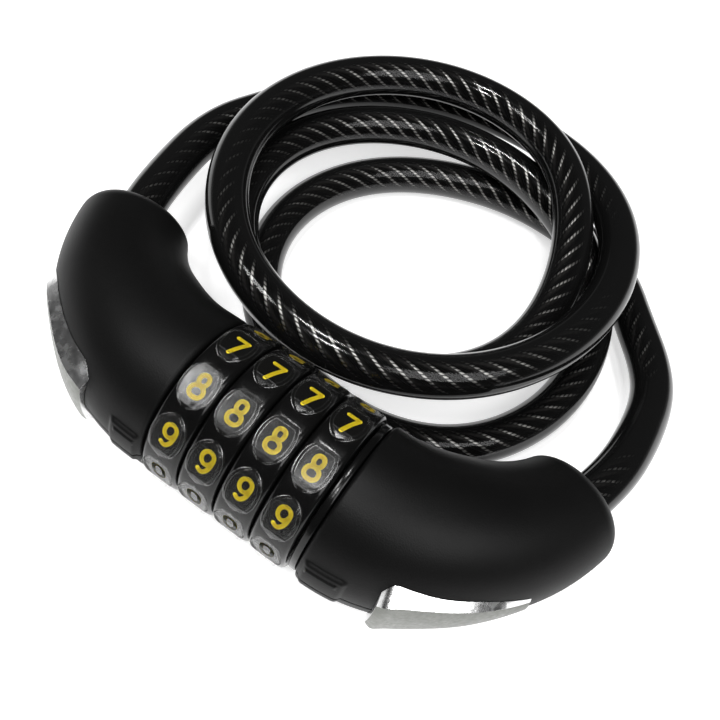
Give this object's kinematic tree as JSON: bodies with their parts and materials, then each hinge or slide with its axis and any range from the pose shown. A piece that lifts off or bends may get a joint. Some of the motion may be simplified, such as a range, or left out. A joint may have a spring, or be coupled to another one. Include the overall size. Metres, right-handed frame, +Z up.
{
  "type": "cable lock",
  "caption": "Combination cable lock: number dials between two curved black halves with metal finger grips, and a coiled steel cable in a clear dark sleeve.",
  "frame": {"origin": "middle of the base of the body's box, without the cable, on the surface that the lock lies on", "axes": "+X along the dial axis from the dial half to the bolt half, -Y towards the outer curve with the index marks, +Z up"},
  "size_m": [0.1663, 0.1754, 0.0449],
  "materials": {
    "shell_black": "satin",
    "dial_black": "gloss",
    "bright_zinc": "bright plated zinc",
    "core_zinc": "as cast",
    "steel": "plain",
    "brass": "plain",
    "cable_sleeve": "clear dark sleeve over steel rope"
  },
  "bodies": {
    "dial_half": {"left_shell_top": "shell_black", "left_shell_bottom": "shell_black", "left_finger_grip": "bright_zinc", "left_core": "core_zinc", "left_ferrule": "steel", "left_ferrule_pin": "steel", "lock_sleeve": "steel", "sleeve_pin": "steel", "detent_strip": "steel", "end_collar": "dial_black", "thrust_washer": "steel", "sleeve_circlip": "steel", "cable_left_stretch": "cable_sleeve", "cable_coil": "cable_sleeve"},
    "bolt_half": {"right_shell_top": "shell_black", "right_shell_bottom": "shell_black", "right_finger_grip": "bright_zinc", "right_core": "core_zinc", "right_ferrule": "steel", "right_ferrule_pin": "steel", "locking_bolt": "steel", "bolt_pin": "steel", "cable_right_stretch": "cable_sleeve"},
    "dial_1": {"number_dial_1": "dial_black", "tumbler_1": "brass"},
    "dial_2": {"number_dial_2": "dial_black", "tumbler_2": "brass"},
    "dial_3": {"number_dial_3": "dial_black", "tumbler_3": "brass"},
    "dial_4": {"number_dial_4": "dial_black", "tumbler_4": "brass"}
  },
  "joints": [
    {"name": "bolt_pull", "type": "slide", "parent": "dial_half", "child": "bolt_half", "axis": [1, 0, 0], "range_m": [0, 0.05]},
    {"name": "dial_1_turn", "type": "hinge", "parent": "dial_half", "child": "dial_1", "pos_m": [-0.01649, -0.00783, 0.02243], "axis": [1, 0, 0], "continuous": true},
    {"name": "dial_2_turn", "type": "hinge", "parent": "dial_half", "child": "dial_2", "pos_m": [-0.00609, -0.00783, 0.02243], "axis": [1, 0, 0], "continuous": true},
    {"name": "dial_3_turn", "type": "hinge", "parent": "dial_half", "child": "dial_3", "pos_m": [0.00431, -0.00783, 0.02243], "axis": [1, 0, 0], "continuous": true},
    {"name": "dial_4_turn", "type": "hinge", "parent": "dial_half", "child": "dial_4", "pos_m": [0.01471, -0.00783, 0.02243], "axis": [1, 0, 0], "continuous": true}
  ]
}
